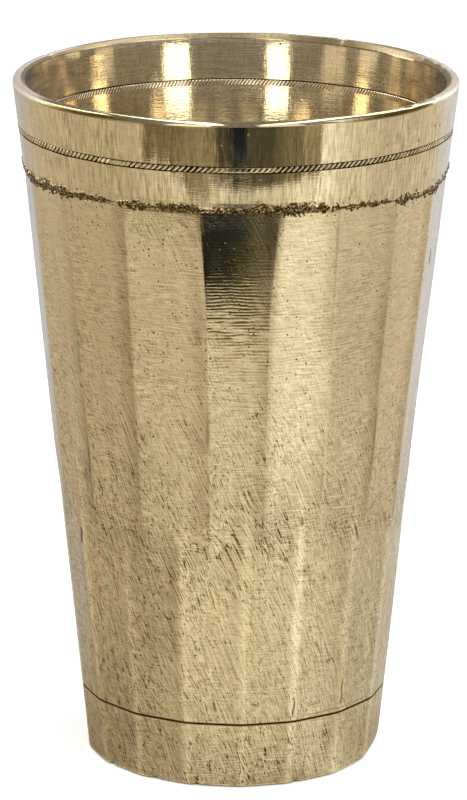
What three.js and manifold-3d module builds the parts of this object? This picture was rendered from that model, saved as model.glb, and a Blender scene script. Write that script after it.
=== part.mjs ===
// A brass drinking tumbler: a tapered cup with a turned collar at the mouth, two tiers of
// hand-filed flats round its wall, and a foot ring that holds the base disc.
// Millimetres, +Z up, origin on the table under the centre of the foot, front towards -Y.
import * as THREE from "three";
import { mergeVertices, toCreasedNormals } from "three/addons/utils/BufferGeometryUtils.js";
import Module from "manifold-3d";

const wasm = await Module();
wasm.setup();

// Overall form
const HEIGHT = 158;
const RIM_RADIUS = 50;
const FOOT_RADIUS = 33.6;
const RIM_WALL = 2.2;
const FOOT_WALL = 2.8;

// Lip of the mouth: rounded outside, bevelled inside
const LIP_ROUND = 0.9;
const LIP_BEVEL_HEIGHT = 2;
const LIP_BEVEL_WIDTH = 0.8;

// Collar, and the brazed gap between it and the body
const COLLAR_DEPTH = 18.4;
const BRAZE_BAND = 2.4;
const BRAZE_RECESS = 0.2;
const COLLAR_LAP = 4.2;
const COLLAR_SPIGOT_WALL = 0.8;

// Knurled line, cut at one level on both faces of the collar
const KNURL_BELOW_RIM = 10.8;
const KNURL_HEIGHT = 1.5;
const KNURL_LINE_WIDTH = 0.5;
const KNURL_LINE_DEPTH = 0.25;

// Filed flats, in two tiers: the first corner and the widths, in degrees, of the flats that follow it
// to the right across the front. The other flats of a tier share the rest of the turn evenly.
const FLATS_PER_TIER = 18;
const UPPER_FIRST_CORNER = -71.2;
const UPPER_FRONT_FLATS = [19.8, 20.8, 22.1, 19.6, 17.6, 20.3, 18.5];
const LOWER_FIRST_CORNER = -59.5;
const LOWER_FRONT_FLATS = [21, 20.8, 21.4, 18.3, 21.1, 21];
const TIER_BREAK = 62;
const TIER_BLEND = 9;

// Foot ring and the seam above it
const FOOT_BAND = 15.2;
const FOOT_SEAM = 0.6;
const FOOT_SEAM_DEPTH = 0.25;
const FOOT_SPIGOT_WALL = 1;
const FOOT_EDGE_HEIGHT = 1.2;
const FOOT_EDGE_WIDTH = 0.9;
const STANDING_WIDTH = 5;
const UNDERSIDE_RECESS = 2.2;

// Base disc, and the braze fillet that seals it inside the cup
const DISC_THICKNESS = 2.6;
const FILLET = 1.4;

// Gap left in each sliding joint
const CLEARANCE = 0.1;

// How far one solid runs into or past another where they are joined or cut
const OVERRUN = 3;

// Facets of the round surfaces, and the angle between facets that reads as an edge
const ROUND_SEGMENTS = 72;
const ARC_STEPS = 4;
const CREASE_DEGREES = 12;

// Levels that follow from the sizes above
const collarFoot = HEIGHT - COLLAR_DEPTH;
const bodyTop = collarFoot - BRAZE_BAND;
const collarSeat = bodyTop - COLLAR_LAP;
const knurlLevel = HEIGHT - KNURL_BELOW_RIM;
const bodyFoot = FOOT_BAND + FOOT_SEAM;
const cupFloor = UNDERSIDE_RECESS + DISC_THICKNESS;

// The cup's outer and inner walls are plain cones.
const outerRadius = (z) => FOOT_RADIUS + ((RIM_RADIUS - FOOT_RADIUS) * z) / HEIGHT;
const wallAt = (z) => RIM_WALL + ((FOOT_WALL - RIM_WALL) * (HEIGHT - z)) / (HEIGHT - cupFloor);
const innerRadius = (z) => outerRadius(z) - wallAt(z);
const collarSpigotRadius = (z) => innerRadius(z) + COLLAR_SPIGOT_WALL;
const footSpigotRadius = (z) => innerRadius(z) + FOOT_SPIGOT_WALL;

const point = (radius, z) => new THREE.Vector2(radius, z);
const onOuter = (z) => point(outerRadius(z), z);
const onInner = (z) => point(innerRadius(z), z);

// The corners of a tier of flats, as angles from the front, positive to the right
function cornerAngles(first, frontFlats) {
  const backCount = FLATS_PER_TIER - frontFlats.length;
  const backFlat = (360 - frontFlats.reduce((sum, width) => sum + width, 0)) / backCount;
  const angles = [first];
  for (const width of frontFlats) angles.push(angles.at(-1) + width);
  while (angles.length < FLATS_PER_TIER) angles.push(angles.at(-1) + backFlat);
  return angles.map(THREE.MathUtils.degToRad);
}
const upperCorners = cornerAngles(UPPER_FIRST_CORNER, UPPER_FRONT_FLATS);
const lowerCorners = cornerAngles(LOWER_FIRST_CORNER, LOWER_FRONT_FLATS);

// The share of the corner radius that is left at the middle of the widest flat
function narrowest(corners) {
  const gaps = corners.map((angle, i) => (corners[i + 1] ?? corners[0] + 2 * Math.PI) - angle);
  return Math.cos(Math.max(...gaps) / 2);
}

// A closed geometry as a solid, with its shared vertices merged
function solidOf(geometry) {
  geometry.deleteAttribute("normal");
  geometry.deleteAttribute("uv");
  const merged = mergeVertices(geometry, 1e-4);
  const index = merged.index.array;
  const triVerts = [];
  for (let i = 0; i < index.length; i += 3) {
    const [a, b, c] = index.slice(i, i + 3);
    if (a !== b && b !== c && c !== a) triVerts.push(a, b, c);
  }
  const vertProperties = merged.attributes.position.array;
  return new wasm.Manifold(
    new wasm.Mesh({ numProp: 3, vertProperties, triVerts: new Uint32Array(triVerts) }),
  );
}

// A solid turned round +Z from a profile that runs up its outer side
function turned(profile) {
  const geometry = new THREE.LatheGeometry(profile, ROUND_SEGMENTS);
  return solidOf(geometry.rotateX(Math.PI / 2));
}

// A solid turned round +Z from a profile of its outer side alone, closed on the axis
function turnedFull(outside) {
  return turned([point(0, outside[0].y), ...outside, point(0, outside.at(-1).y)]);
}

// A ring turned round +Z from a profile that closes on itself
function turnedRing(outline) {
  return turned([...outline, outline[0]]);
}

// A quarter round from one direction to the next, in degrees from the outward radius
function quarterRound(centre, radius, from, to) {
  return Array.from({ length: ARC_STEPS + 1 }, (_, i) => {
    const angle = THREE.MathUtils.degToRad(from + ((to - from) * i) / ARC_STEPS);
    return point(centre.x + radius * Math.cos(angle), centre.y + radius * Math.sin(angle));
  });
}

// A solid of flats through a stack of levels, each a ring of corners at one height and radius
function flatted(levels) {
  const vertices = [];
  const index = [];
  const rings = levels.map(({ z, radius, corners }) =>
    corners.map((angle) => {
      vertices.push(radius * Math.sin(angle), -radius * Math.cos(angle), z);
      return { angle, vertex: vertices.length / 3 - 1 };
    }),
  );
  rings.slice(1).forEach((ring, i) => index.push(...strip(rings[i], ring)));
  for (const end of [0, -1]) {
    const ring = rings.at(end);
    const centre = vertices.length / 3;
    vertices.push(0, 0, levels.at(end).z);
    ring.forEach(({ vertex }, i) => {
      const next = ring[(i + 1) % ring.length].vertex;
      index.push(centre, ...(end === 0 ? [next, vertex] : [vertex, next]));
    });
  }
  const geometry = new THREE.BufferGeometry();
  geometry.setAttribute("position", new THREE.Float32BufferAttribute(vertices, 3));
  return solidOf(geometry.setIndex(index));
}

// The triangles between a lower and an upper ring of corners, taken in order of angle
function strip(lower, upper) {
  const turn = 2 * Math.PI;
  const at = (ring, i) => ring[i % ring.length].angle + turn * Math.floor(i / ring.length);
  const vertexAt = (ring, i) => ring[i % ring.length].vertex;
  const lead = upper.findIndex(({ angle }) => angle >= lower[0].angle - 1e-9);
  const triangles = [];
  let low = 0;
  let high = lead;
  while (low < lower.length || high < lead + upper.length) {
    const lowStep = at(lower, low + 1);
    const highStep = at(upper, high + 1);
    const lowerNext = high >= lead + upper.length || (low < lower.length && lowStep <= highStep);
    const corner = lowerNext ? vertexAt(lower, low + 1) : vertexAt(upper, high + 1);
    triangles.push(vertexAt(lower, low), corner, vertexAt(upper, high));
    if (lowerNext) low += 1;
    else high += 1;
  }
  return triangles;
}

// A pair of shallow V lines that edge the knurled band, on a wall given by a radius for each level
function knurlLines(radiusAt, depth, rising) {
  const half = KNURL_LINE_WIDTH / 2;
  const lines = [-1, 1].flatMap((side) => {
    const level = knurlLevel + (side * (KNURL_HEIGHT - KNURL_LINE_WIDTH)) / 2;
    return [
      point(radiusAt(level - half), level - half),
      point(radiusAt(level) + depth, level),
      point(radiusAt(level + half), level + half),
    ];
  });
  return rising ? lines : lines.reverse();
}

function rimCollar() {
  const lipCentre = point(outerRadius(HEIGHT) - LIP_ROUND, HEIGHT - LIP_ROUND);
  return turnedRing([
    point(collarSpigotRadius(collarSeat), collarSeat),
    point(collarSpigotRadius(collarFoot), collarFoot),
    onOuter(collarFoot),
    ...knurlLines(outerRadius, -KNURL_LINE_DEPTH, true),
    ...quarterRound(lipCentre, LIP_ROUND, 0, 90),
    point(innerRadius(HEIGHT) + LIP_BEVEL_WIDTH, HEIGHT),
    onInner(HEIGHT - LIP_BEVEL_HEIGHT),
    ...knurlLines(innerRadius, KNURL_LINE_DEPTH, false),
    onInner(collarSeat),
  ]);
}

function collarBraze() {
  const low = bodyTop + CLEARANCE;
  const high = collarFoot - CLEARANCE;
  return turnedRing([
    point(collarSpigotRadius(low) + CLEARANCE, low),
    point(outerRadius(low) - BRAZE_RECESS, low),
    point(outerRadius(high) - BRAZE_RECESS, high),
    point(collarSpigotRadius(high) + CLEARANCE, high),
  ]);
}

function facetedBody() {
  const blendFoot = TIER_BREAK - TIER_BLEND / 2;
  const blendTop = TIER_BREAK + TIER_BLEND / 2;
  const flats = flatted([
    { z: bodyFoot, radius: outerRadius(bodyFoot), corners: lowerCorners },
    { z: blendFoot, radius: outerRadius(blendFoot), corners: lowerCorners },
    { z: blendTop, radius: outerRadius(blendTop), corners: upperCorners },
    { z: bodyTop, radius: outerRadius(bodyTop), corners: upperCorners },
  ]);
  const footSpigotTop = bodyFoot + OVERRUN;
  const footSpigot = turnedFull([
    point(footSpigotRadius(cupFloor), cupFloor),
    point(footSpigotRadius(footSpigotTop), footSpigotTop),
  ]);
  const hollow = turnedFull([onInner(cupFloor - OVERRUN), onInner(bodyTop + OVERRUN)]);
  const socket = turnedFull([
    point(collarSpigotRadius(collarSeat) + CLEARANCE, collarSeat),
    point(collarSpigotRadius(bodyTop + OVERRUN) + CLEARANCE, bodyTop + OVERRUN),
  ]);
  return flats.add(footSpigot).subtract(hollow).subtract(socket);
}

function footBraze() {
  const low = FOOT_BAND + CLEARANCE;
  const high = bodyFoot - CLEARANCE;
  const outside = outerRadius(FOOT_BAND) * narrowest(lowerCorners) - FOOT_SEAM_DEPTH;
  return turnedRing([
    point(footSpigotRadius(low) + CLEARANCE, low),
    point(outside, low),
    point(outside, high),
    point(footSpigotRadius(high) + CLEARANCE, high),
  ]);
}

function footRing() {
  const flats = flatted([
    { z: 0, radius: outerRadius(0) - FOOT_EDGE_WIDTH, corners: lowerCorners },
    { z: FOOT_EDGE_HEIGHT, radius: outerRadius(FOOT_EDGE_HEIGHT), corners: lowerCorners },
    { z: FOOT_BAND, radius: outerRadius(FOOT_BAND), corners: lowerCorners },
  ]);
  const underside = turnedFull([
    point(FOOT_RADIUS - STANDING_WIDTH, -OVERRUN),
    point(FOOT_RADIUS - STANDING_WIDTH, cupFloor),
  ]);
  const socket = turnedFull([
    point(footSpigotRadius(UNDERSIDE_RECESS) + CLEARANCE, UNDERSIDE_RECESS),
    point(footSpigotRadius(FOOT_BAND + OVERRUN) + CLEARANCE, FOOT_BAND + OVERRUN),
  ]);
  return flats.subtract(underside).subtract(socket);
}

function baseDisc() {
  return turnedFull([
    point(footSpigotRadius(UNDERSIDE_RECESS), UNDERSIDE_RECESS),
    point(footSpigotRadius(cupFloor), cupFloor),
  ]);
}

// A hollow-faced fillet in the corner between the disc and the wall
function baseBraze() {
  const corner = point(innerRadius(cupFloor) - CLEARANCE, cupFloor);
  const top = cupFloor + FILLET;
  const face = quarterRound(point(corner.x - FILLET, top), FILLET, 0, -90);
  return turnedRing([corner, point(innerRadius(top) - CLEARANCE, top), ...face]);
}

const brass = {
  turned: { color: 0xd9c48a, roughness: 0.22, metalness: 1 },
  filed: { color: 0xcdb67e, roughness: 0.34, metalness: 1 },
  braze: { color: 0x4b4030, roughness: 0.8, metalness: 0.4 },
};

// A solid as a named mesh
function piece(name, solid, finish) {
  const { numProp, vertProperties, triVerts } = solid.getMesh();
  const geometry = new THREE.BufferGeometry();
  const positions = new THREE.InterleavedBuffer(vertProperties, numProp);
  geometry.setAttribute("position", new THREE.InterleavedBufferAttribute(positions, 3, 0));
  geometry.setIndex(new THREE.BufferAttribute(triVerts, 1));
  const creased = toCreasedNormals(geometry, THREE.MathUtils.degToRad(CREASE_DEGREES));
  const mesh = new THREE.Mesh(creased, new THREE.MeshStandardMaterial(finish));
  mesh.name = name;
  return mesh;
}

const tumbler = new THREE.Group();
tumbler.add(
  piece("rim_collar", rimCollar(), brass.turned),
  piece("collar_braze", collarBraze(), brass.braze),
  piece("faceted_body", facetedBody(), brass.filed),
  piece("foot_braze", footBraze(), brass.braze),
  piece("foot_ring", footRing(), brass.filed),
  piece("base_disc", baseDisc(), brass.turned),
  piece("base_braze", baseBraze(), brass.braze),
);

export default tumbler;
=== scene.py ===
"""Looks of a brass drinking tumbler: its finished pieces, their materials, the studio and the camera.

Sizes are in millimetres, and meshes are turned into metres as they are made. Angles round the cup are in
degrees from the front (-Y), positive to the right (+X). Heights are above the table.
"""

import math

import bpy
import numpy as np
from mathutils import Matrix, Vector, noise

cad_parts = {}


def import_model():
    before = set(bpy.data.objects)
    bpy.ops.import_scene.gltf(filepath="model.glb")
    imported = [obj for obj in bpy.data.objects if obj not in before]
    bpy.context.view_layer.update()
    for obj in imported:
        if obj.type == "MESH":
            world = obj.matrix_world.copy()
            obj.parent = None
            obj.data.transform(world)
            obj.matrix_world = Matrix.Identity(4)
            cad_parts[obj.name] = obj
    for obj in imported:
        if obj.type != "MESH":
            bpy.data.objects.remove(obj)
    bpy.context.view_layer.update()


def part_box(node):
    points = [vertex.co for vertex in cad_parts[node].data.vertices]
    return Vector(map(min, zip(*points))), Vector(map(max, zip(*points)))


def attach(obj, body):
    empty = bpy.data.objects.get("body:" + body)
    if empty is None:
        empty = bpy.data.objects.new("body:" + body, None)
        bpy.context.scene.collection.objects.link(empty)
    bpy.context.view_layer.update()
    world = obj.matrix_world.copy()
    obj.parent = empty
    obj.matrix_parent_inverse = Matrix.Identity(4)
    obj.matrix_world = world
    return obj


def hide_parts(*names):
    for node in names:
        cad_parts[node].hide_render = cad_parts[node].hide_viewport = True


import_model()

MM = 0.001
RANDOM = np.random.default_rng(7)


def node_box(name):
    """The lowest and highest corner of a node of the frame, in millimetres."""
    low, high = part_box(name)
    return low / MM, high / MM


# Sizes that the frame gives
collar_low, collar_high = node_box("rim_collar")
seam_high = node_box("collar_braze")[1]
body_high = node_box("faceted_body")[1]
foot_high = node_box("foot_ring")[1]
foot_seam_low, foot_seam_high = node_box("foot_braze")
base_low, base_high = node_box("base_disc")
fillet_low, fillet_high = node_box("base_braze")

# How far the finished wall stands proud of the solids' cone
RIM_GROWTH = 0.42
FOOT_GROWTH = 0.32

# How much more the collar flares than the wall, and the share of its height where the two are level
COLLAR_FLARE = 0.3
COLLAR_FLUSH = 0.4

# Sizes that the frame's boxes don't show
FOOT_RADIUS = 33.6
RIM_WALL = 2.2
FOOT_WALL = 2.8
COLLAR_SPIGOT_WALL = 0.45
FOOT_SPIGOT_WALL = 1.0
STANDING_WIDTH = 5.0
CLEARANCE = 0.1

# Edges that turn more than this are sharp, in degrees
CREASE = 32

HEIGHT = collar_high.z
RIM_RADIUS = collar_high.x
COLLAR_SEAT = collar_low.z
COLLAR_FOOT = seam_high.z + CLEARANCE
BODY_TOP = body_high.z
FOOT_TOP = foot_high.z
CUP_FLOOR = base_high.z
RECESS = base_low.z

# Lip; its bevel is deepest at an angle, and falls off over a reach in degrees
LIP_ROUND = 1.1
LIP_INNER_ROUND = 0.25
LIP_WIDTH = 1.95
LIP_BEVEL_HEIGHT = 1.5
BEVEL_LEAST = 0.5
BEVEL_DEEPEST = (135, 48)
# Painted shade on the bevel and the row at its foot; how dull the bevel is; height of the short step at its
# foot
BEVEL_SHADE = 0.56
BEVEL_DULLNESS = 0.65
BEVEL_EDGE = 0.06
LIP_STEPS = 9

# Painted highlights and painted dark lines of reflection on the lip at angles from the front, with their
# reach
LIP_HIGHLIGHTS = [-10.5, 22.5]
LIP_HIGHLIGHT_REACH = 7
LIP_LINES = [-46, 44]
LIP_LINE_REACH = 15
LIP_LINE_SLOPE = 15
LIP_LINE_BREADTH = 24

# Where the lip turns dull, shiny again at the far side, and darker with painted shade at the back: start and
# reach in degrees
LIP_DULL = (52, 14)
LIP_FAR = (125, 30)
LIP_BACK_LEFT = (122, 16)
LIP_BACK_RIGHT = (108, 24)
LIP_FAR_SHINE = 0.45

# Darkness of the lip where it is buffed and where it is dull, and the painted shade that the back and the
# dark lines add
LIP_FRONT_DARKNESS = 0.35
LIP_DULL_DIRT = 0.2
LIP_BACK_SHADE = 0.48
LIP_LINE_SHADE = 0.6

# Knurled lines
KNURL_LEVEL = HEIGHT - 10.8
KNURL_HEIGHT = 1.55
KNURL_CHANNEL = 0.4
KNURL_GAP = 0.17
KNURL_STROKES = 246
INNER_KNURL_LEVEL = KNURL_LEVEL - 0.3
INNER_KNURL_HEIGHT = 1.5
INNER_KNURL_STROKES = 352
INNER_KNURL_GAP = 0.26

# Filed flats: first corner and widths across the front, in degrees; the rest share the turn evenly
FLATS_PER_TIER = 18
UPPER_FIRST_CORNER = -71.2
UPPER_FRONT_FLATS = [19.8, 20.8, 22.8, 17.7, 18.8, 20.3, 18.5]
LOWER_FIRST_CORNER = -59.5
LOWER_FRONT_FLATS = [21, 20.8, 21.4, 18.3, 21.1, 21]
# How much darker each of the lower tier's front flats is, and every other lower flat
LOWER_FRONT_DARKENING = [0.2, 0.62, 0.05, 0.1, 0.28, 0.1]
LOWER_DARKENING_ELSEWHERE = 0.2
TIER_BREAK = 61.0
TIER_WANDER = 3.0
TIER_BLEND = 18.0
FLATNESS = 0.9
UPPER_CORNER_SOFTNESS = 0.1
LOWER_CORNER_SOFTNESS = 0.22
BOW_LEVEL = 112.0
BOW_SOFTNESS = 8.0
UPPER_BOW = 0.12
LOWER_BOW = 0.0
FRONT_FLATS = [2, 3, 4]
FRONT_BOWS = [-0.08, 0.45, -0.08]
FRONT_RIPPLES = [0.3, 1.0, 0.4]

# A shallow waist above the break: its depth, how much deeper it is on the right, and its level and reach
WAIST_DEPTH = 0.28
WAIST_LEAN = 0.36
WAIST_BAND = (81, 38)

# How the collar and its seam sway: the size of a sway, and how far along x, y and z
SWAY_SIZE = 18.0
SWAY_REACH = [0.06, 0.06, 0.1]


def cone_radius(z):
    """Radius of the solids' cone."""
    return FOOT_RADIUS + (RIM_RADIUS - FOOT_RADIUS) * z / HEIGHT


def outer_radius(z):
    """Radius of the finished wall, before it is filed."""
    return cone_radius(z) + FOOT_GROWTH + (RIM_GROWTH - FOOT_GROWTH) * z / HEIGHT


def collar_radius(z):
    """Radius of the collar, which flares a little more than the wall."""
    share = (z - COLLAR_FOOT) / (HEIGHT - COLLAR_FOOT)
    return outer_radius(z) + COLLAR_FLARE * (share - COLLAR_FLUSH)


def inner_radius(z):
    """Radius of the bore."""
    wall = RIM_WALL + (FOOT_WALL - RIM_WALL) * (HEIGHT - z) / (HEIGHT - CUP_FLOOR)
    return cone_radius(z) - wall


def smooth(value):
    """A soft step from 0 to 1 as value goes from 0 to 1."""
    t = np.clip(value, 0, 1)
    return t * t * (3 - 2 * t)


def bell(value, width):
    """A soft bump, 1 at value 0."""
    return np.exp(-((value / width) ** 2))


def hinge(value):
    """A soft bend: 0 well below value 0, and value itself well above it."""
    return (value + np.sqrt(value**2 + BOW_SOFTNESS**2)) / 2


def turn_from(angles, centre):
    """Angles counted from a centre, between -180 and 180 degrees."""
    return (angles - centre + 180) % 360 - 180


def soft_step(value, start, reach):
    """A soft step from 0 to 1 that begins at start and takes reach."""
    return smooth((value - start) / reach)


def patch(angles, centre, reach):
    """A soft patch round the cup, 1 at its centre."""
    return bell(turn_from(angles, centre), reach)


def band(heights, level, reach):
    """A soft band round the cup, 1 at its level, as a column."""
    return bell(heights - level, reach)[:, None]


def ring_angles(count):
    """Columns of a ring, in degrees, from the back round to the back."""
    return -180 + 360 * np.arange(count) / count


def fractal(points, size, octaves=3):
    """Fractal noise, about -1 to 1, at an array of points whose features are size apart."""
    shape = points.shape[:-1]
    flat = (points / size).reshape(-1, 3).tolist()
    values = [noise.fractal(Vector(p), 1.0, 2.0, octaves) for p in flat]
    return np.array(values).reshape(shape)


def ring_points(radii, heights, angles):
    """Points of a ring of rows and columns, in millimetres."""
    turn = np.radians(angles)[None, :]
    rows = max(np.shape(radii)[0], np.shape(heights)[0])
    shape = (rows, len(angles))
    radii = np.broadcast_to(radii, shape)
    heights = np.broadcast_to(heights, shape)
    return np.stack([radii * np.sin(turn), -radii * np.cos(turn), heights], axis=-1)


def swayed(points):
    """Points of the collar or its seam, moved a little out of true."""
    return points + fractal(points, SWAY_SIZE, 2)[..., None] * np.array(SWAY_REACH)


def stack_rows(rows, columns):
    """Rows of (radius, height), each a number or one number for each column, as two arrays."""
    radii = np.array([np.broadcast_to(radius, columns) for radius, _ in rows], float)
    heights = np.array([np.broadcast_to(height, columns) for _, height in rows], float)
    return radii, heights


def arc(centre, radius, start, end, steps):
    """Points of a profile's arc, from one angle to another in degrees above the outward radius."""
    turns = np.radians(np.linspace(start, end, steps + 1))
    return [(centre[0] + radius * math.cos(t), centre[1] + radius * math.sin(t)) for t in turns]


def straight(start, end, steps):
    """Points of a straight stretch of a profile, without its ends."""
    shares = np.arange(1, steps) / steps
    return [tuple(np.add(start, np.multiply(np.subtract(end, start), s))) for s in shares]


def put(name, data):
    """An object in the scene, made from its data."""
    made = bpy.data.objects.new(name, data)
    bpy.context.scene.collection.objects.link(made)
    return made


def piece(name, points, faces, materials, nodes=(), layers=None, zones=None):
    """A piece of the object from points in millimetres: it rides on the frame and may replace nodes of it."""
    mesh = bpy.data.meshes.new(name)
    mesh.from_pydata((np.reshape(points, (-1, 3)) * MM).tolist(), [], faces)
    for material in materials:
        mesh.materials.append(material)
    mesh.shade_smooth()
    mesh.set_sharp_from_angle(angle=math.radians(CREASE))
    if zones is not None:
        mesh.polygons.foreach_set("material_index", np.asarray(zones, np.int32))
    for layer, values in (layers or {}).items():
        marks = mesh.attributes.new(layer, "FLOAT", "POINT")
        marks.data.foreach_set("value", np.reshape(values, -1).astype(np.float32))
    made = put(name, mesh)
    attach(made, "root")
    if nodes:
        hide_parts(*nodes)


def ring_faces(rows, columns):
    """Faces of a ring whose rows and columns both close on themselves."""
    row, column = np.meshgrid(np.arange(rows), np.arange(columns), indexing="ij")
    next_row = (row + 1) % rows
    next_column = (column + 1) % columns
    corners = [
        row * columns + column,
        row * columns + next_column,
        next_row * columns + next_column,
        next_row * columns + column,
    ]
    return np.stack(corners, axis=-1).reshape(-1, 4).tolist()


def ring_piece(name, points, materials, nodes=(), layers=None, row_zones=None):
    """A closed ring; row_zones gives the material of the faces above each row."""
    rows, columns = points.shape[:2]
    zones = None if row_zones is None else np.repeat(row_zones, columns)
    piece(name, points, ring_faces(rows, columns), materials, nodes, layers, zones)


def spread(layers, first, rows):
    """Layers of some rows of a ring, set among all its rows, with 0 in the others."""
    wide = {}
    for layer, values in layers.items():
        wide[layer] = np.zeros((rows, values.shape[1]))
        wide[layer][first : first + len(values)] = values
    return wide


class Shader:
    """A material's nodes, added one at a time."""

    def __init__(self, name):
        self.material = bpy.data.materials.new(name)
        self.material.use_nodes = True
        self.tree = self.material.node_tree
        self.tree.nodes.clear()
        self.position = self.add("ShaderNodeTexCoord").outputs["Object"]
        self.height = self.add("ShaderNodeSeparateXYZ", {0: self.position}).outputs[2]

    def add(self, kind, inputs=None, **settings):
        node = self.tree.nodes.new(kind)
        for key, value in settings.items():
            setattr(node, key, value)
        for key, value in (inputs or {}).items():
            if isinstance(value, bpy.types.NodeSocket):
                self.tree.links.new(value, node.inputs[key])
            else:
                node.inputs[key].default_value = value
        return node

    def math(self, operation, first, second=0.0):
        return self.add("ShaderNodeMath", {0: first, 1: second}, operation=operation).outputs[0]

    def vector(self, operation, first, second):
        """Arithmetic on vectors or colours, part by part."""
        return self.add("ShaderNodeVectorMath", {0: first, 1: second}, operation=operation).outputs[0]

    def remap(self, value, low, high, to_low=0.0, to_high=1.0):
        inputs = {"Value": value, 1: low, 2: high, 3: to_low, 4: to_high}
        return self.add("ShaderNodeMapRange", inputs).outputs[0]

    def times(self, first, *others):
        """The product of several values."""
        for other in others:
            first = self.math("MULTIPLY", first, other)
        return first

    def between(self, share, low, high):
        """low where share is 0, and high where it is 1."""
        return self.remap(share, 0.0, 1.0, low, high)

    def mix(self, share, first, second):
        return self.add("ShaderNodeMix", {0: share, 6: first, 7: second}, data_type="RGBA").outputs[2]

    def ramp(self, value, stops):
        """A colour that changes with a value: stops are places from 0 to 1 and their colours."""
        node = self.add("ShaderNodeValToRGB", {0: value})
        elements = node.color_ramp.elements
        while len(elements) < len(stops):
            elements.new(1.0)
        for element, (place, colour) in zip(elements, stops):
            element.position = place
            element.color = (*colour, 1)
        return node.outputs[0]

    def swung(self, middle, *parts):
        """A middle value with parts added to it: each is a field of 0 to 1 and how far it swings."""
        for field, swing in parts:
            offset = self.math("SUBTRACT", field, 0.5)
            middle = self.math("ADD", middle, self.times(offset, swing))
        return middle

    def darkest(self, dark, *marks):
        """A darkness and the marks on it: each is a field of 0 to 1 and how dark it gets."""
        for field, strength in marks:
            dark = self.math("MAXIMUM", dark, self.times(field, strength))
        return dark

    def stretched(self, vector, across, along):
        """A vector whose features are across millimetres wide and along millimetres tall."""
        rates = (1 / (across * MM), 1 / (across * MM), 1 / (along * MM))
        return self.vector("MULTIPLY", vector, rates)

    def noise(self, across, along, detail=2.0, rough=0.5, vector=None):
        source = self.stretched(vector or self.position, across, along)
        inputs = {"Vector": source, "Scale": 1.0, "Detail": detail, "Roughness": rough}
        return self.add("ShaderNodeTexNoise", inputs).outputs[0]

    def marks(self, across, along, detail=2.0, rough=0.5, vector=None, spread=0.15):
        """Noise whose values within spread of its middle are stretched out to fill 0 to 1."""
        source = self.noise(across, along, detail, rough, vector)
        return self.remap(source, 0.5 - spread, 0.5 + spread)

    def varied(self, across, along, low, high):
        """A value that wanders between low and high."""
        return self.remap(self.noise(across, along, 3.0), 0.3, 0.7, low, high)

    def pits(self, spacing, radius):
        """Dots of up to radius millimetres, in cells that are spacing wide; 1 at their centres."""
        inputs = {"Vector": self.stretched(self.position, spacing, spacing), "Scale": 1.0}
        cells = self.add("ShaderNodeTexVoronoi", inputs)
        chance = self.add("ShaderNodeSeparateColor", {0: cells.outputs["Color"]}).outputs[0]
        reach = self.remap(chance, 0.3, 1.0, 0.001, radius / spacing)
        share = self.math("DIVIDE", cells.outputs["Distance"], reach)
        return self.remap(share, 0.6, 1.1, 1.0, 0.0)

    def bump(self, height, depth, normal=None):
        """A normal for a height of 0 to 1 that is depth millimetres deep."""
        inputs = {"Height": height, "Distance": depth * MM, "Strength": 1.0}
        if normal is not None:
            inputs["Normal"] = normal
        return self.add("ShaderNodeBump", inputs).outputs[0]

    def dent(self, marks, depth, normal):
        """A normal for marks that are cut depth millimetres into the surface."""
        return self.bump(self.times(marks, -1.0), depth, normal)

    def layer(self, name):
        """A layer that is stored on the mesh's points."""
        return self.add("ShaderNodeAttribute", attribute_name=name).outputs["Fac"]

    def waves(self, pitch, sway, across, along):
        """Level lines that are pitch millimetres apart and waver; 0 to 1."""
        drift = self.times(self.noise(across, along), sway)
        rise = self.times(self.height, 2 * math.pi / (pitch * MM))
        return self.remap(self.math("SINE", self.math("ADD", rise, drift)), -1.0, 1.0)

    def leaning(self, lean, sway):
        """The position, turned by lean radians for each metre of height and bent by sway millimetres."""
        inputs = {"Vector": self.position, "Angle": self.times(self.height, lean)}
        turned = self.add("ShaderNodeVectorRotate", inputs, rotation_type="Z_AXIS").outputs[0]
        wander = self.stretched(self.position, 16, 16)
        bend = self.add("ShaderNodeTexNoise", {"Vector": wander, "Scale": 1.0}).outputs["Color"]
        return self.vector("ADD", turned, self.vector("MULTIPLY", bend, (sway * MM, sway * MM, 0)))

    def surface(self, node):
        """The material, with a node as its surface."""
        self.add("ShaderNodeOutputMaterial", {"Surface": node.outputs[0]})
        return self.material

    def finish(self, **inputs):
        """The material, from inputs of a principled surface whose names have _ for spaces."""
        named = {key.replace("_", " "): value for key, value in inputs.items()}
        return self.surface(self.add("ShaderNodeBsdfPrincipled", named))


BRASS_PALE = (0.98, 0.83, 0.507, 1)
BRASS_DEEP = (0.605, 0.465, 0.258, 1)
BORE_PALE = (0.96, 0.86, 0.665, 1)
LIP_PALE = (0.78, 0.67, 0.56, 1)

# Shades of the metal from rubbed bright to black: place and colour
SHADES = [
    (0.0, (1, 1, 1)),
    (0.25, (0.74, 0.74, 0.735)),
    (0.62, (0.3, 0.25, 0.14)),
    (1.0, (0.03, 0.02, 0.012)),
]
EVEN = 0.25
PIT_DEPTH = 0.08


def metal(shader, tone, dark, roughness, normal, pale=BRASS_PALE, metallic=1.0):
    """Brass whose colour goes from deep to pale with tone, and from bright to black with dark."""
    brass = shader.mix(tone, BRASS_DEEP, pale)
    shade = shader.ramp(dark, SHADES)
    colour = shader.vector("MULTIPLY", brass, shade)
    return shader.finish(
        Base_Color=colour,
        Metallic=metallic,
        Roughness=shader.math("MAXIMUM", roughness, shader.remap(dark, 0.5, 1.0, 0.0, 0.55)),
        Normal=normal,
    )


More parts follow.
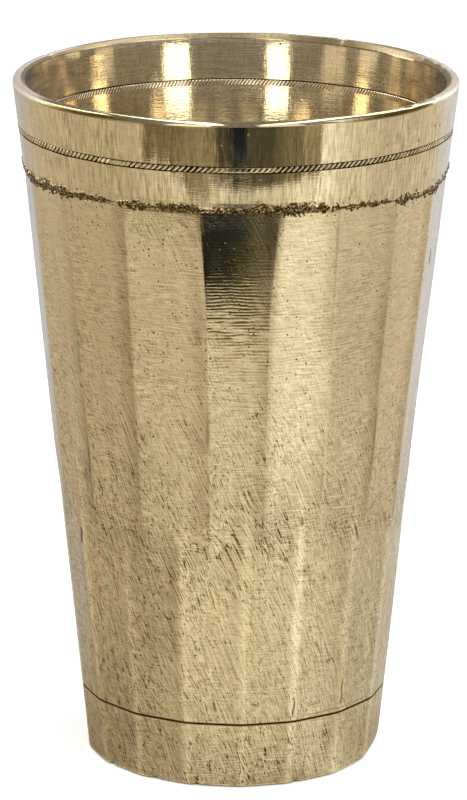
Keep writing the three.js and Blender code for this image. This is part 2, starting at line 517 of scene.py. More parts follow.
def file_scratches(shader, tilted, furrows, satin):
    """Leaning scratches in clusters, broken into dots by the furrows that they cross."""
    contour = shader.math("SUBTRACT", shader.noise(0.52, 24, 0.0, 0.5, tilted), 0.5)
    strokes = shader.remap(shader.math("ABSOLUTE", contour), 0.01, 0.042, 1.0, 0.0)
    dots = shader.remap(furrows, 0.3, 0.65, 0.4, 1.0)
    clusters = shader.remap(shader.noise(9, 14), 0.36, 0.62, 0.34, 1.0)
    clusters = shader.times(clusters, shader.between(satin, 0.28, 1.0), shader.layer("scored"))
    return shader.times(strokes, dots, clusters)


def filed_brass():
    """Flats left by a file: chatter and fine furrows across, leaning dotted scratches and casting pits."""
    shader = Shader("brass_filed")
    satin = shader.layer("satin")
    rough = shader.layer("rough")
    ridge_highlight = shader.layer("ridge_highlight")
    coarse = shader.math("MAXIMUM", shader.between(satin, 0.58, 1.0), rough)
    broken = shader.remap(shader.noise(5, 1.4), 0.38, 0.58, 0.15, 1.0)
    chatter = shader.times(shader.waves(0.76, 11, 6, 3), shader.layer("ripple"), broken)
    patches = shader.remap(shader.noise(9, 7), 0.35, 0.65, 0.3, 1.0)
    furrows = shader.marks(2.6, 0.3, 2.0, 0.6, spread=0.17)
    tilted = shader.leaning(10.5, 1.5)
    hatch = shader.marks(0.24, 11, 1.0, 0.5, tilted)
    grain = shader.marks(0.28, 0.22, 1.0)
    scratches = file_scratches(shader, tilted, furrows, satin)
    pits = shader.pits(1.05, 0.25)
    normal = shader.bump(chatter, 0.012)
    normal = shader.bump(shader.times(furrows, patches), 0.003, normal)
    normal = shader.dent(scratches, 0.014, normal)
    normal = shader.dent(pits, 0.012, normal)
    lines = shader.times(patches, shader.between(rough, 0.3, 0.55))
    hatching = shader.times(coarse, coarse, 0.3)
    dark = shader.swung(EVEN, (furrows, lines), (hatch, hatching), (grain, shader.times(coarse, 0.15)))
    scored = shader.times(scratches, shader.between(rough, 0.75, 1.6))
    deepest = shader.between(rough, 0.44, 0.64)
    dark = shader.math("ADD", dark, shader.math("MINIMUM", scored, deepest))
    # Painted shade along the chatter marks: dark lines in the colour, besides their bump
    dark = shader.math("ADD", dark, shader.times(chatter, 0.4))
    # Painted highlight along the lower tier's corners: less dark there
    dark = shader.math("SUBTRACT", dark, shader.times(ridge_highlight, 0.1))
    # The layer holds dirt in cracks, chips, pits and scribed lines, and painted shade on the edges beside the
    # foot line, the bottom edge and the corners
    dark = shader.darkest(dark, (pits, 0.95), (shader.layer("dirt_and_shade"), 1.0))
    tone = shader.varied(4, 40, 0.76, 0.98)
    # Darker tone where the flat is tarnished, and painted shade towards each flat's right edge
    tone = shader.math("SUBTRACT", tone, shader.times(shader.layer("tarnish_and_shade"), 0.6))
    # Painted highlight: paler tone along the lower tier's corners
    tone = shader.math("ADD", tone, shader.times(ridge_highlight, 0.5))
    uneven = shader.varied(5, 9, 0.85, 1.2)
    roughness = shader.times(shader.between(satin, 0.08, 0.32), uneven)
    return metal(shader, tone, dark, roughness, normal)


def buffed_streaks(shader):
    """Long upright streaks left by buffing."""
    return shader.marks(0.45, 90, 2.0, 0.6, spread=0.17)


def turned_brass():
    """The collar's outside: buffed, with long upright streaks and very fine turning lines."""
    shader = Shader("brass_turned")
    streaks = buffed_streaks(shader)
    lines = shader.marks(3, 0.3, 1.0, spread=0.2)
    patches = shader.remap(shader.noise(6, 40), 0.35, 0.6, 0.3, 1.0)
    pits = shader.pits(2.8, 0.22)
    normal = shader.bump(streaks, 0.002)
    normal = shader.bump(lines, 0.0006, normal)
    normal = shader.dent(pits, PIT_DEPTH, normal)
    dark = shader.swung(EVEN, (streaks, shader.times(patches, 0.5)), (lines, 0.1))
    dark = shader.darkest(dark, (pits, 0.9), (shader.layer("dirt_and_shade"), 1.0))
    tone = shader.varied(2, 40, 0.62, 0.95)
    roughness = shader.varied(4, 20, 0.03, 0.07)
    return metal(shader, tone, dark, roughness, normal)


def bored_brass():
    """The inside of the cup: close turning lines all the way down, a few pits, and painted shade at the
    sides.
    """
    shader = Shader("brass_bored")
    stain_and_shade = shader.layer("stain_and_shade")
    lines = shader.noise(7, 0.3, 2.0, 0.6)
    streaks = shader.noise(0.8, 10, 2.0, 0.6)
    pits = shader.pits(2.6, 0.22)
    normal = shader.bump(lines, 0.005)
    normal = shader.bump(streaks, 0.006, normal)
    normal = shader.bump(shader.noise(1.6, 0.3, 1.0), 0.008, normal)
    normal = shader.dent(pits, PIT_DEPTH, normal)
    level_marks = shader.remap(lines, 0.35, 0.65)
    upright_marks = shader.remap(streaks, 0.35, 0.65)
    grain = shader.marks(0.35, 0.3, 1.0)
    dark = shader.swung(0.12, (level_marks, 0.26), (upright_marks, 0.14), (grain, 0.2))
    dark = shader.darkest(dark, (pits, 0.9), (shader.layer("dirt_and_shade"), 1.0))
    # Painted shade at the sides of the bore: deeper tone and less metal there
    tone = shader.math("SUBTRACT", shader.varied(8, 20, 0.78, 1.0), shader.times(stain_and_shade, 0.4))
    roughness = shader.varied(6, 2, 0.05, 0.09)
    bare = shader.between(stain_and_shade, 1.0, 0.75)
    return metal(shader, tone, dark, roughness, normal, BORE_PALE, bare)


def worn_lip():
    """The lip: buffed at the front, dull from handling at the sides and back, with fine pits."""
    shader = Shader("brass_lip")
    dull = shader.layer("dull")
    grain = shader.marks(0.5, 0.5)
    pits = shader.pits(1.8, 0.2)
    normal = shader.bump(shader.times(grain, dull), 0.01)
    normal = shader.dent(pits, PIT_DEPTH, normal)
    # The layer carries painted highlights, painted dark lines and painted shade on the lip and its bevel
    dark = shader.swung(shader.layer("dirt_and_shade"), (grain, 0.12))
    dark = shader.darkest(dark, (pits, 0.8))
    tone = shader.varied(3, 20, 0.8, 1.0)
    pale = shader.mix(dull, BRASS_PALE, LIP_PALE)
    roughness = shader.between(dull, 0.06, 0.4)
    bare = shader.between(dull, 1.0, 0.35)
    return metal(shader, tone, dark, roughness, normal, pale, bare)


def crusted_braze():
    """Filler: filed like the wall where it is bare, rough and dark with bright grains where it is crusted."""
    shader = Shader("braze_dark")
    crust = shader.layer("dirt_and_shade")
    grains = shader.marks(0.32, 0.32, 2.0, 0.6)
    normal = shader.bump(shader.noise(2.6, 0.3, 2.0, 0.6), 0.0015)
    normal = shader.bump(shader.times(grains, crust), 0.08, normal)
    bare = shader.remap(crust, 0.0, 0.5, 0.34, 0.0)
    dark = shader.remap(crust, 0.0, 0.9, EVEN, 0.92)
    dark = shader.swung(dark, (grains, shader.times(crust, 0.7)), (buffed_streaks(shader), bare))
    tone = shader.varied(2, 20, 0.65, 0.9)
    roughness = shader.remap(crust, 0.0, 0.5, 0.07, 0.5)
    return metal(shader, tone, dark, roughness, normal)


FILED = filed_brass()
TURNED = turned_brass()
BORED = bored_brass()
LIP = worn_lip()
BRAZE = crusted_braze()


def corner_angles(first, front_flats):
    """Corners of a tier of flats, in degrees."""
    rest = (360 - sum(front_flats)) / (FLATS_PER_TIER - len(front_flats))
    widths = front_flats + [rest] * (FLATS_PER_TIER - 1 - len(front_flats))
    return first + np.concatenate([[0], np.cumsum(widths)])


def tier(first, front_flats, low, high, bow, softness):
    """A tier of hand-filed flats, each with a little depth, tilt and bow of its own."""
    return {
        "corners": corner_angles(first, front_flats),
        "low": low,
        "high": high,
        "softness": softness,
        "depth": RANDOM.uniform(-0.06, 0.06, FLATS_PER_TIER),
        "tilt": RANDOM.uniform(-0.1, 0.1, FLATS_PER_TIER),
        "bow": bow * RANDOM.uniform(0.6, 1.2, FLATS_PER_TIER),
    }


UPPER_TIER = tier(UPPER_FIRST_CORNER, UPPER_FRONT_FLATS, TIER_BREAK, BODY_TOP, UPPER_BOW,
                  UPPER_CORNER_SOFTNESS)
UPPER_TIER["bow"][FRONT_FLATS] = FRONT_BOWS
LOWER_TIER = tier(LOWER_FIRST_CORNER, LOWER_FRONT_FLATS, 0, TIER_BREAK, LOWER_BOW, LOWER_CORNER_SOFTNESS)
LOWER_DARKENING = np.full(FLATS_PER_TIER, LOWER_DARKENING_ELSEWHERE)
LOWER_DARKENING[: len(LOWER_FRONT_DARKENING)] = LOWER_FRONT_DARKENING
RIPPLES = RANDOM.uniform(0.1, 0.3, FLATS_PER_TIER)
RIPPLES[FRONT_FLATS] = FRONT_RIPPLES


def tier_radius(flats, angles, heights):
    """Radius of a tier at each height and angle. A flat's bow is how far its upper end falls in."""
    corners = flats["corners"]
    ends = np.append(corners[1:], corners[0] + 360)
    centres = (corners + ends) / 2
    halves = (ends - corners) / 2
    share = np.clip((heights - flats["low"]) / (flats["high"] - flats["low"]), 0, 1)[:, None, None]
    turn = np.radians(turn_from(angles[:, None], centres))[None, :, :]
    flat = FLATNESS * (1 / np.cos(np.clip(turn, -1, 1)) - 1) + 1
    cone = outer_radius(heights)[:, None, None]
    planes = cone * np.cos(np.radians(halves)) * flat + flats["depth"] + flats["tilt"] * (share - 0.5)
    planes = planes - flats["bow"] * hinge(heights - BOW_LEVEL)[:, None, None] / (BODY_TOP - BOW_LEVEL)
    planes = np.where(np.abs(turn) > 1, np.inf, planes)
    least = planes.min(axis=2, keepdims=True)
    crowd = np.exp((least - planes) / flats["softness"]).sum(axis=2)
    return least[:, :, 0] - flats["softness"] * np.log(crowd)


def tier_share(angles, heights):
    """0 in the lower tier and 1 in the upper, at each row and column."""
    turn = np.radians(angles)
    level = TIER_BREAK + TIER_WANDER * np.sin(1.3 * np.sin(turn) + 2 * turn)
    return smooth((heights[:, None] - level) / TIER_BLEND + 0.5)


def wall_radius(angles, heights):
    """Radius of the filed wall: the two tiers, joined where the file ran out."""
    upper = tier_radius(UPPER_TIER, angles, heights)
    lower = tier_radius(LOWER_TIER, angles, heights)
    share = tier_share(angles, heights)
    depth = WAIST_DEPTH + WAIST_LEAN * np.sin(np.radians(angles))
    waist = band(heights, *WAIST_BAND) * depth[None, :]
    return lower * (1 - share) + upper * share - waist


def flat_place(flats, angles):
    """Which flat each angle falls in, and how far across it, from -1 at its left to 1 at its right."""
    corners = flats["corners"]
    ends = np.append(corners[1:], corners[0] + 360)
    around = corners[0] + (angles - corners[0]) % 360
    number = np.searchsorted(corners, around, side="right") - 1
    return number, 2 * (around - corners[number]) / (ends - corners)[number] - 1


# Finish of the flats: a band has its level and reach, and a patch its angle and reach
# Painted shade towards the right edge of each flat: where it starts across the flat and how strong it is;
# then tarnish at the tier break
FLAT_EDGE_SHADE_START = 0.3
FLAT_EDGE_SHADE = 0.6
BREAK_TARNISH = 0.3
PATCH_SIZE = 14.0
# Width of the painted highlight along the lower tier's corners, as a share of half a flat
RIDGE_WIDTH = 0.16
RIPPLE_BAND = (111, 15)
SATIN_TOP = 112.0
SATIN_FADE = 45.0
FOOT_WEAR_BAND = (5, 7)
SCORED = 1.0
SCORED_LEAN = 0.72
WIPED_PATCH = (-6, 10)
DULLED_PATCH = (7.5, 3.5)
DULLED_FROM = 104
DULLED_FADE = 14
DULLED_SHARE = 0.5
# Grime with painted shade along the corners of the upper flats: width as a share of half a flat, then level
# and reach
GRIME_AND_SHADE_WIDTH = 0.09
GRIME_AND_SHADE_BAND = (80, 20)

# Dirt in the marks of the wall, grime with painted shade at the flats' corners, and painted shade on the
# edges beside the foot line and along the bottom edge
SCRIBE_DIRT = 0.5
GRIME_AND_SHADE_DARKNESS = 0.6
FOOT_LINE_EDGE_SHADE = 0.8
CHIP_DIRT = 0.8
BOTTOM_EDGE_SHADE = 0.85


def wall_layers(angles, heights):
    """Layers of the filed wall at each row and column, from 0 to 1."""
    share = tier_share(angles, heights)
    number, upper_across = flat_place(UPPER_TIER, angles)
    lower_number, lower_across = flat_place(LOWER_TIER, angles)
    # Painted shade that grows towards the right edge of each flat
    upper_edge_shade = soft_step(upper_across, FLAT_EDGE_SHADE_START, 1 - FLAT_EDGE_SHADE_START)
    lower_edge_shade = soft_step(lower_across, FLAT_EDGE_SHADE_START, 1 - FLAT_EDGE_SHADE_START)
    # Painted highlight along each lower flat's edges
    lower_ridge_highlight = bell(1 - np.abs(lower_across), RIDGE_WIDTH)
    break_zone = 4 * share * (1 - share)
    surface = ring_points(outer_radius(heights)[:, None], heights[:, None], angles)
    patchy = np.clip(0.55 + 0.9 * fractal(surface, PATCH_SIZE, 3), 0, 1)
    wiped = patch(angles, *WIPED_PATCH)
    # Each lower flat's own darkening, painted shade towards the flats' right edges, and tarnish at the tier
    # break except where wiped
    tarnish_and_shade = share * upper_edge_shade + (1 - share) * (LOWER_DARKENING[lower_number] + FLAT_EDGE_SHADE * lower_edge_shade)
    tarnish_and_shade = tarnish_and_shade + BREAK_TARNISH * break_zone * (1 - wiped)
    satin = smooth((SATIN_TOP - heights) / SATIN_FADE)[:, None]
    dulled = patch(angles, *DULLED_PATCH) * soft_step(heights, DULLED_FROM, DULLED_FADE)[:, None]
    # Grime and painted shade along the corners of the upper flats, about mid height
    grime_and_shade = bell(1 - np.abs(upper_across), GRIME_AND_SHADE_WIDTH) * band(heights, *GRIME_AND_SHADE_BAND)
    return {
        "ripple": share * RIPPLES[number] * band(heights, *RIPPLE_BAND),
        "tarnish_and_shade": np.clip(tarnish_and_shade * (0.5 + 0.7 * patchy), 0, 1),
        "ridge_highlight": (1 - share) * lower_ridge_highlight,
        "scored": np.broadcast_to(SCORED - SCORED_LEAN * np.sin(np.radians(angles)), share.shape),
        "rough": np.clip(break_zone + band(heights, *FOOT_WEAR_BAND), 0, 1) * patchy,
        "grime_and_shade": share * grime_and_shade * patchy,
        "satin": np.clip(satin + DULLED_SHARE * dulled, 0, 1),
    }


# Painted shade at the sides of the bore: its angle from the front and reach
SIDE_SHADE_CENTRE = 92
SIDE_SHADE_REACH = 34


def bore_side_shade(angles, rows):
    """Painted shade in the bore, from 0 to 1: browner and less metallic at the left and right sides, none at
    the front and back.
    """
    right = patch(angles, SIDE_SHADE_CENTRE, SIDE_SHADE_REACH)
    left = patch(angles, -SIDE_SHADE_CENTRE, SIDE_SHADE_REACH)
    return np.broadcast_to(np.maximum(left, right), (rows, len(angles)))


WALL_COLUMNS = 720
WALL_STEP = 1.0
wall_angles = ring_angles(WALL_COLUMNS)


def levels(low, high, step):
    """Heights from low to high, about step apart."""
    return np.linspace(low, high, max(2, round((high - low) / step) + 1))


# Small upright cracks in the wall: angle, low and high end, and lean and width in degrees
CRACKS = [
    (22.8, 15.9, 22.2, 0.3, 0.35),
    (44.0, 16.4, 24.2, -0.5, 0.35),
    (23.2, 12.4, 15.0, 0.4, 0.35),
    (-61.6, 52.4, 57.8, 0.3, 0.9),
    (75.8, 116.0, 121.7, -1.2, 0.9),
]
CRACK_DEPTH = 0.14
CRACK_FADE = 1.5
CRACK_WANDER = 0.25
CRACK_WANDER_RATE = 1.7


def crack_marks(angles, heights):
    """How deep the cracks are, from 0 to 1, at each row and column."""
    marks = np.zeros((len(heights), len(angles)))
    for angle, low, high, lean, width in CRACKS:
        middle = (low + high) / 2
        along = smooth((heights - low) / CRACK_FADE) * smooth((high - heights) / CRACK_FADE)
        wander = CRACK_WANDER * np.sin(heights * CRACK_WANDER_RATE)
        wander = lean * (heights - middle) / (high - low) + wander
        marks = np.maximum(marks, patch(angles[None, :], angle + wander[:, None], width) * along[:, None])
    return marks


# A second, faint scribed line above the foot seam, on the right
SCRIBE_BAND = (FOOT_TOP + 1.3, 0.15)
SCRIBE_PATCH = (40, 34)
SCRIBE_DEPTH = 0.08

# Edges of the wall beside its seams, and the gap that shows as the foot line
EDGE_ROUND = 0.16
EDGE_DROP = 0.07
TOP_EDGE_DROP = 0.05
FOOT_LINE = 0.32

# Rows of the wall: close beside the foot line and the edges, and wider apart in the bore
LINE_ZONE = 2.4
LINE_STEP = 0.08
EDGE_ZONE = 0.6
EDGE_STEP = 0.12
BORE_STEP = 4.0


def faceted_body():
    """The wall of the cup: filed outside, bored inside, with its socket and spigot."""
    low = FOOT_TOP + FOOT_LINE
    fine = levels(low, low + LINE_ZONE, LINE_STEP)
    plain = levels(low + LINE_ZONE, BODY_TOP - EDGE_ZONE, WALL_STEP)[1:]
    top = levels(BODY_TOP - EDGE_ZONE, BODY_TOP, EDGE_STEP)[1:]
    heights = np.concatenate([fine, plain, top])
    radii = wall_radius(wall_angles, heights)
    cracks = crack_marks(wall_angles, heights)
    scribe = band(heights, *SCRIBE_BAND) * patch(wall_angles, *SCRIBE_PATCH)
    low_edge = band(heights, low, EDGE_ROUND)
    high_edge = band(heights, BODY_TOP, EDGE_ROUND)
    radii = radii - CRACK_DEPTH * cracks - SCRIBE_DEPTH * scribe
    radii = radii - EDGE_DROP * low_edge - TOP_EDGE_DROP * high_edge
    spigot = [(inner_radius(z) + FOOT_SPIGOT_WALL, z) for z in (CUP_FLOOR, low)]
    outside = list(zip(radii, heights))
    socket = [(inner_radius(z) + COLLAR_SPIGOT_WALL + CLEARANCE, z) for z in (BODY_TOP, COLLAR_SEAT)]
    inside = [(inner_radius(z), z) for z in levels(COLLAR_SEAT, CUP_FLOOR, -BORE_STEP)]
    rows, row_heights = stack_rows(spigot + outside + socket + inside, WALL_COLUMNS)
    layers = wall_layers(wall_angles, heights)
    grime_and_shade = GRIME_AND_SHADE_DARKNESS * layers.pop("grime_and_shade")
    # Dirt in cracks and the scribed line, painted shade on the edge beside the foot line, and grime with
    # painted shade at the corners
    layers["dirt_and_shade"] = np.clip(cracks + SCRIBE_DIRT * scribe + FOOT_LINE_EDGE_SHADE * low_edge + grime_and_shade, 0, 1)
    zones = np.ones(len(rows), int)
    zones[: len(spigot) + len(outside) + 1] = 0
    points = ring_points(rows, row_heights, wall_angles)
    layers = spread(layers, len(spigot), len(rows))
    layers["stain_and_shade"] = bore_side_shade(wall_angles, len(rows))
    ring_piece("faceted_wall", points, [FILED, BORED], ["faceted_body"], layers, zones)


# Bottom edge of the foot: sharp on the left, worn round on the right, with chips at angles and widths
EDGE_SHARP = 0.2
EDGE_WORN = 5.0
EDGE_WORN_SLOPE = 0.3
EDGE_WORN_PATCH = (88, 30)
CHIPS = [(-56, 1.3), (-32, 1.8), (-14, 1.4), (25.5, 1.6), (118, 1.5), (163, 1.9), (-121, 1.3)]
CHIP_DEPTH = 0.5
CHIP_HEIGHT = 0.9
FOOT_EDGE_ZONE = 5
FOOT_EDGE_STEP = 0.2
FOOT_STEP = 0.6
STANDING_ROUND = 0.3
LOW_EDGE_WIDTH = 0.3


def foot_ring():
    """The faceted band at the bottom, with its standing face, ledge and socket."""
    worn = patch(wall_angles, *EDGE_WORN_PATCH)
    round_height = EDGE_SHARP + (EDGE_WORN - EDGE_SHARP) * worn
    low = levels(0, FOOT_EDGE_ZONE, FOOT_EDGE_STEP)
    plain = levels(FOOT_EDGE_ZONE, FOOT_TOP - EDGE_ZONE, FOOT_STEP)[1:]
    top = levels(FOOT_TOP - EDGE_ZONE, FOOT_TOP, LINE_STEP)[1:]
    heights = np.concatenate([low, plain, top])
    radii = wall_radius(wall_angles, heights)
    drop = np.clip(1 - heights[:, None] / round_height[None, :], 0, 1)
    radii = radii - EDGE_WORN_SLOPE * round_height[None, :] * (1 - np.sqrt(1 - drop**2))
    chips = np.zeros_like(radii)
    for angle, width in CHIPS:
        chips = np.maximum(chips, patch(wall_angles, angle, width) * band(heights, 0, CHIP_HEIGHT))
    cracks = crack_marks(wall_angles, heights)
    top_edge = band(heights, FOOT_TOP, EDGE_ROUND)
    radii = radii - CHIP_DEPTH * chips - CRACK_DEPTH * cracks - EDGE_DROP * top_edge
    standing = FOOT_RADIUS - STANDING_WIDTH
    ledge = inner_radius(RECESS) + FOOT_SPIGOT_WALL + CLEARANCE
    socket = inner_radius(FOOT_TOP) + FOOT_SPIGOT_WALL + CLEARANCE
    outside = list(zip(radii, heights))
    inside = [(socket, FOOT_TOP), (ledge, RECESS), (standing, RECESS)]
    inside += [(standing, STANDING_ROUND), (standing + STANDING_ROUND, 0)]
    rows, row_heights = stack_rows(outside + inside, WALL_COLUMNS)
    layers = wall_layers(wall_angles, heights)
    # Painted shade on the top edge beside the foot line and along the bottom edge
    edges = FOOT_LINE_EDGE_SHADE * top_edge + BOTTOM_EDGE_SHADE * band(heights, 0, LOW_EDGE_WIDTH)
    layers["dirt_and_shade"] = np.clip(CHIP_DIRT * chips**2 + cracks + edges, 0, 1)
    layers.pop("grime_and_shade")
    points = ring_points(rows, row_heights, wall_angles)
    ring_piece("foot_band", points, [FILED], ["foot_ring"], spread(layers, 0, len(rows)))


# Small dents in the lip: angle, width in degrees and depth
LIP_NICKS = [
    (51, 2.0, 0.12),
    (62, 1.2, 0.2),
    (99, 1.0, 0.25),
    (104, 0.8, 0.35),
    (110, 1.2, 0.3),
    (117, 0.9, 0.2),
    (-118, 1.4, 0.2),
    (150, 1.1, 0.25),
]

# Casting pits in the collar: angle, height and radius
COLLAR_PITS = [
    (62.5, 151.6, 0.45),
    (65.5, 151.2, 0.4),
    (60.5, 152.2, 0.3),
    (54.5, 149.6, 0.4),
    (42, 150.4, 0.3),
]
COLLAR_PIT_DEPTH = 0.15

# How far below the top the dents in the lip reach, and over how much of that they set in
NICK_REACH = 1.6
NICK_FADE = 1.4


def lip_layers(angles, slopes):
    """Darkness and dullness of the lip, with painted highlights, painted dark lines and painted shade at the
    back: slopes are the angles that its rows face, in degrees above level.
    """
    around = turn_from(angles, 0)
    away = np.abs(around)
    back = np.maximum(soft_step(-around, *LIP_BACK_LEFT), soft_step(around, *LIP_BACK_RIGHT))
    dull = soft_step(away, *LIP_DULL) * (1 - LIP_FAR_SHINE * soft_step(away, *LIP_FAR))
    # Painted highlights: the front's darkness is taken away at these angles
    highlights = sum(bell(around - angle, LIP_HIGHLIGHT_REACH) for angle in LIP_HIGHLIGHTS)
    line = sum(bell(around - angle, LIP_LINE_REACH) for angle in LIP_LINES)
    front_with_highlights = np.clip(LIP_FRONT_DARKNESS - LIP_FRONT_DARKNESS * highlights, 0, 1)
    # Painted shade at the back of the lip
    top = dull * (LIP_DULL_DIRT + LIP_BACK_SHADE * back) + (1 - dull) * front_with_highlights
    # Painted dark lines of reflection low on the outer round, where its rows face about level
    under = bell(slopes - LIP_LINE_SLOPE, LIP_LINE_BREADTH)[:, None] * line[None, :]
    dirt_and_shade = np.clip(top[None, :] + LIP_LINE_SHADE * under, 0, 1)
    return dirt_and_shade, np.broadcast_to(dull, dirt_and_shade.shape)


def collar_lean():
    """How far the collar's outside leans at the lip, in radians."""
    return math.atan(collar_radius(HEIGHT) - collar_radius(HEIGHT - 1))


def on_collar(z, depth=0.0):
    """A point of the collar's outside, or a depth under it."""
    return collar_radius(z) - depth, z


def in_bore(z, depth=0.0):
    """A point of the bore, or a depth behind it."""
    return inner_radius(z) + depth, z


def channel(surface, start, end):
    """A channel for a knurled line, along a profile from one height to another."""
    return [surface(start), surface(start, KNURL_CHANNEL), surface(end, KNURL_CHANNEL), surface(end)]


def collar_profile():
    """The collar's profile, from its spigot up the outside and down the bore, and rows to find it by."""
    half = KNURL_HEIGHT / 2
    inner_half = INNER_KNURL_HEIGHT / 2
    lean = collar_lean()
    lip_foot = HEIGHT - LIP_ROUND * (1 + math.sin(lean))
    lip = (collar_radius(lip_foot) - LIP_ROUND * math.cos(lean), HEIGHT - LIP_ROUND)
    mouth = collar_radius(HEIGHT) - LIP_WIDTH
    inner_lip = (mouth + LIP_INNER_ROUND, HEIGHT - LIP_INNER_ROUND)
    bevel_foot = HEIGHT - LIP_BEVEL_HEIGHT
    bevel_lean = math.degrees(math.atan2(mouth - inner_radius(bevel_foot), LIP_BEVEL_HEIGHT))
    line = channel(on_collar, KNURL_LEVEL - half, KNURL_LEVEL + half)
    inner_line = channel(in_bore, INNER_KNURL_LEVEL + inner_half, INNER_KNURL_LEVEL - inner_half)
    rows = {}
    profile = [(inner_radius(z) + COLLAR_SPIGOT_WALL, z) for z in (COLLAR_SEAT, COLLAR_FOOT)]
    profile += [on_collar(COLLAR_FOOT)]
    profile += straight(on_collar(COLLAR_FOOT), line[0], 8)
    rows["channel"] = len(profile) + 1
    profile += line
    profile += straight(line[-1], on_collar(lip_foot), 24)
    rows["lip"] = len(profile)
    profile += arc(lip, LIP_ROUND, -math.degrees(lean), 90, LIP_STEPS)
    profile += arc(inner_lip, LIP_INNER_ROUND, 90, 180 - bevel_lean, 4)
    rows["bevel"] = len(profile)
    profile += straight(profile[-1], in_bore(bevel_foot), 4)
    rows["bore"] = len(profile)
    profile += [in_bore(bevel_foot), in_bore(bevel_foot - BEVEL_EDGE)]
    profile += straight(in_bore(bevel_foot - BEVEL_EDGE), inner_line[0], 6)
    rows["inner_channel"] = len(profile) + 1
    profile += inner_line
    profile += straight(inner_line[-1], in_bore(COLLAR_SEAT), 8)
    profile += [in_bore(COLLAR_SEAT)]
    return profile, rows


def rim_collar():
    """The turned collar: lip, bevel, a channel for each knurled line and the spigot under it."""
    profile, rows = collar_profile()
    lip, bevel, bore = rows["lip"], rows["bevel"], rows["bore"]
    radii, heights = stack_rows(profile, WALL_COLUMNS)
    shallow = BEVEL_LEAST + (1 - BEVEL_LEAST) * patch(wall_angles, *BEVEL_DEEPEST)
    heights[bevel : bore + 2] = HEIGHT - (HEIGHT - heights[bevel : bore + 2]) * shallow[None, :]
    near_lip = soft_step(heights, HEIGHT - NICK_REACH, NICK_FADE)
    for angle, width, depth in LIP_NICKS:
        heights = heights - depth * near_lip * patch(wall_angles, angle, width)[None, :]
    zones = np.ones(len(profile), int)
    zones[:lip] = 0
    zones[lip:bore] = 2
    dirt_and_shade = np.zeros_like(radii)
    dull = np.zeros_like(radii)
    slopes = np.full(bevel - lip, 90.0)
    slopes[:LIP_STEPS] = np.linspace(-math.degrees(collar_lean()), 90, LIP_STEPS + 1)[:-1]
    dirt_and_shade[lip:bevel], dull[lip:bevel] = lip_layers(wall_angles, slopes)
    for row in (rows["channel"], rows["inner_channel"]):
        dirt_and_shade[row : row + 2] = 1
    # Painted shade on the bevel and the row at its foot, in place of the light its crease would catch
    dirt_and_shade[bevel : bore + 1] = BEVEL_SHADE
    dull[bevel:bore] = BEVEL_DULLNESS
    for angle, height, radius in COLLAR_PITS:
        across = np.radians(turn_from(wall_angles, angle)) * collar_radius(height)
        pit = bell(np.hypot(across[None, :], heights - height), radius)
        pit[lip:] = 0
        dirt_and_shade = np.maximum(dirt_and_shade, pit)
        radii = radii - COLLAR_PIT_DEPTH * pit
    points = swayed(ring_points(radii, heights, wall_angles))
    layers = {"dirt_and_shade": dirt_and_shade, "dull": dull, "stain_and_shade": bore_side_shade(wall_angles, len(profile))}
    materials = [TURNED, BORED, LIP]
    ring_piece("turned_collar", points, materials, ["rim_collar"], layers, zones)


# Strokes of the knurled lines: columns in a stroke, rows, and how many strokes one leans across
KNURL_COLUMNS = 8
KNURL_ROWS = 13
KNURL_LEAN = 1.2
GROOVE_DEPTH = 0.12
KNURL_PROUD = 0.04
WORN_CENTRE = 1
WORN_REACH = 8


def knurl_ring(
    name, material, wall, side, level, height, gap, strokes, breadth, depth, wear, stain_and_shade, low_line
):
    """A band of leaning strokes set in a wall: side is 1 on the outside and -1 on the inside.

    A groove runs along its top, and along its foot where low_line is 1.
    """
    columns = strokes * KNURL_COLUMNS
    angles = ring_angles(columns)
    half = height / 2 - gap
    heights = level + np.linspace(-half - gap * (1 - low_line), half, KNURL_ROWS)
    leaning = side * KNURL_LEAN * (heights[:, None] - level) / height
    stroke = smooth(breadth + 0.8 * np.cos(2 * np.pi * (angles[None, :] * strokes / 360 - leaning)))
    around = np.stack([np.sin(np.radians(angles)), np.cos(np.radians(angles)), 0 * angles], axis=-1)
    uneven = np.clip(0.75 + 0.8 * fractal(around, 0.12, 3), 0.15, 1.0)
    keen = uneven * (1 - wear * bell(angles - WORN_CENTRE, WORN_REACH))
    crown = ((heights - level) / half) ** 6
    crown[heights < level] *= low_line
    relief = depth * keen[None, :] * stroke + GROOVE_DEPTH * crown[:, None] - KNURL_PROUD
    face = wall(heights)[:, None] - side * relief
    back = [(wall(z) - side * KNURL_CHANNEL, z) for z in (heights[-1], heights[0])]
    radii, row_heights = stack_rows(list(zip(face, heights)) + back, columns)
    dirt_and_shade = np.ones_like(radii)
    dirt_and_shade[:KNURL_ROWS] = np.clip(stain_and_shade * stroke * keen[None, :] - 0.1 + crown[:, None], 0, 1)
    if side < 0:
        radii, row_heights, dirt_and_shade = radii[::-1], row_heights[::-1], dirt_and_shade[::-1]
    points = ring_points(radii, row_heights, angles)
    ring_piece(name, points, [material], (), {"dirt_and_shade": dirt_and_shade})


